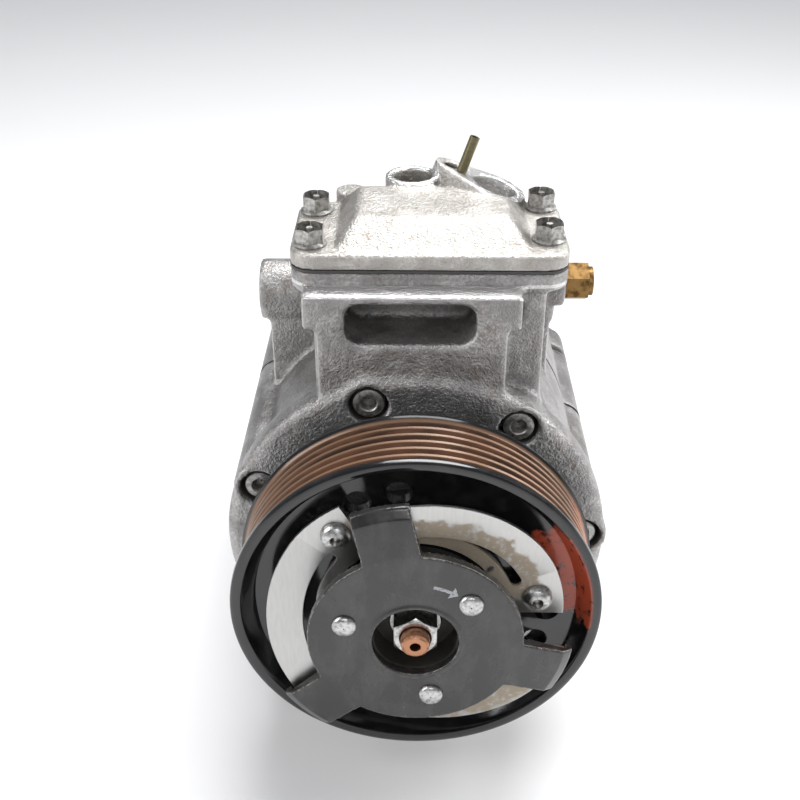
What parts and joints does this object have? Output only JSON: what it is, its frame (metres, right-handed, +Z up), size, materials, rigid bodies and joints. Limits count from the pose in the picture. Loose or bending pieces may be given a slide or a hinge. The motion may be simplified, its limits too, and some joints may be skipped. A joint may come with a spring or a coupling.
{
  "type": "swash-plate refrigerant compressor",
  "caption": "Belt-driven swash-plate compressor: ribbed pulley with a three-lobed limiter plate, cast barrel housing, bolted muffler cover with angled pipe ports.",
  "frame": {"origin": "on the shaft axis at the middle plane of the pulley's belt grooves", "axes": "+Y along the shaft from the pulley to the rear head, +Z up through the muffler cover, +X to the right as seen from the pulley"},
  "size_m": [0.1263, 0.2205, 0.1937],
  "materials": {
    "cast_aluminium": "cast, dull, weathered",
    "machined_aluminium": "machined, satin",
    "black_paint": "gloss black paint",
    "spring_steel": "rolled sheet, satin",
    "zinc_steel": "zinc plated",
    "bright_steel": "ground bearing steel",
    "dark_steel": "hardened, oiled",
    "rusted_steel": "light surface rust",
    "iron": "machined iron",
    "brass": "dull brass",
    "seal_rubber": "matte black rubber",
    "gasket_coat": "rubber-coated steel sheet",
    "bearing_cage": "nylon",
    "connector_plastic": "moulded black plastic"
  },
  "bodies": {
    "housing": {"front_housing": "cast_aluminium", "cylinder_block": "cast_aluminium", "rear_head": "cast_aluminium", "muffler_cover": "cast_aluminium", "pulley_inner_race": "bright_steel", "nose_snap_rings": "dark_steel", "shaft_seal": "seal_rubber", "front_needle_shell": "bright_steel", "rear_needle_shell": "bright_steel", "block_o_ring": "seal_rubber", "block_gasket": "gasket_coat", "suction_reed_plate": "spring_steel", "valve_plate": "dark_steel", "discharge_reed_plate": "spring_steel", "head_gasket": "gasket_coat", "housing_bolts": "zinc_steel", "cover_gasket": "gasket_coat", "cover_bolts": "zinc_steel", "locating_pin": "dark_steel", "relief_valve_body": "brass", "relief_spring": "spring_steel", "control_valve_body": "brass", "control_valve_spring": "spring_steel", "control_valve_coil": "zinc_steel", "control_valve_connector": "connector_plastic", "control_valve_o_rings": "seal_rubber", "control_valve_snap_ring": "dark_steel", "piston_shoes": "bright_steel", "piston_1": "machined_aluminium", "piston_2": "machined_aluminium", "piston_3": "machined_aluminium", "piston_4": "machined_aluminium", "piston_5": "machined_aluminium", "piston_6": "machined_aluminium", "piston_7": "machined_aluminium"},
    "rotor": {"pulley": "black_paint", "pulley_outer_race": "bright_steel", "pulley_bearing_seals": "seal_rubber", "leaf_spring_plate": "spring_steel", "limiter_plate": "black_paint", "hub": "dark_steel", "hub_rivets": "zinc_steel", "spring_screws": "zinc_steel", "hub_nut": "zinc_steel", "hub_washer": "zinc_steel", "drive_shaft": "rusted_steel", "lug_plate": "iron", "hinge_pin": "bright_steel", "swash_plate": "iron", "swash_sleeve": "dark_steel", "destroke_spring": "spring_steel", "return_spring": "spring_steel", "shaft_stop_ring": "dark_steel"},
    "pulley_ball_set": {"pulley_bearing_cage": "bearing_cage", "pulley_bearing_balls": "bright_steel"},
    "front_needle_set": {"front_needle_rollers": "bright_steel"},
    "rear_needle_set": {"rear_needle_rollers": "bright_steel"},
    "thrust_set": {"thrust_bearing": "bright_steel"},
    "relief_poppet": {"relief_poppet": "seal_rubber"},
    "control_plunger": {"control_valve_plunger": "bright_steel"}
  },
  "joints": [
    {"name": "pulley_spin", "type": "hinge", "parent": "housing", "child": "rotor", "pos_m": [0, 0, 0], "axis": [0, -1, 0], "continuous": true},
    {"name": "ball_set_spin", "type": "hinge", "parent": "housing", "child": "pulley_ball_set", "pos_m": [0, 0, 0], "axis": [0, -1, 0], "continuous": true},
    {"name": "front_needle_spin", "type": "hinge", "parent": "housing", "child": "front_needle_set", "pos_m": [0, 0, 0], "axis": [0, -1, 0], "continuous": true},
    {"name": "rear_needle_spin", "type": "hinge", "parent": "housing", "child": "rear_needle_set", "pos_m": [0, 0, 0], "axis": [0, -1, 0], "continuous": true},
    {"name": "thrust_spin", "type": "hinge", "parent": "housing", "child": "thrust_set", "pos_m": [0, 0, 0], "axis": [0, -1, 0], "continuous": true},
    {"name": "relief_slide", "type": "slide", "parent": "housing", "child": "relief_poppet", "axis": [1, 0, 0], "range_m": [0, 0.0015], "deforming": ["relief_spring"]},
    {"name": "control_slide", "type": "slide", "parent": "housing", "child": "control_plunger", "axis": [0, 1, 0], "range_m": [0, 0.0008], "deforming": ["control_valve_spring"]}
  ],
  "couplings": [
    {"joint": "ball_set_spin", "follows": "pulley_spin", "ratio": 0.5753},
    {"joint": "front_needle_spin", "follows": "pulley_spin", "ratio": 0.4393},
    {"joint": "rear_needle_spin", "follows": "pulley_spin", "ratio": 0.4422},
    {"joint": "thrust_spin", "follows": "pulley_spin", "ratio": 0.5}
  ]
}
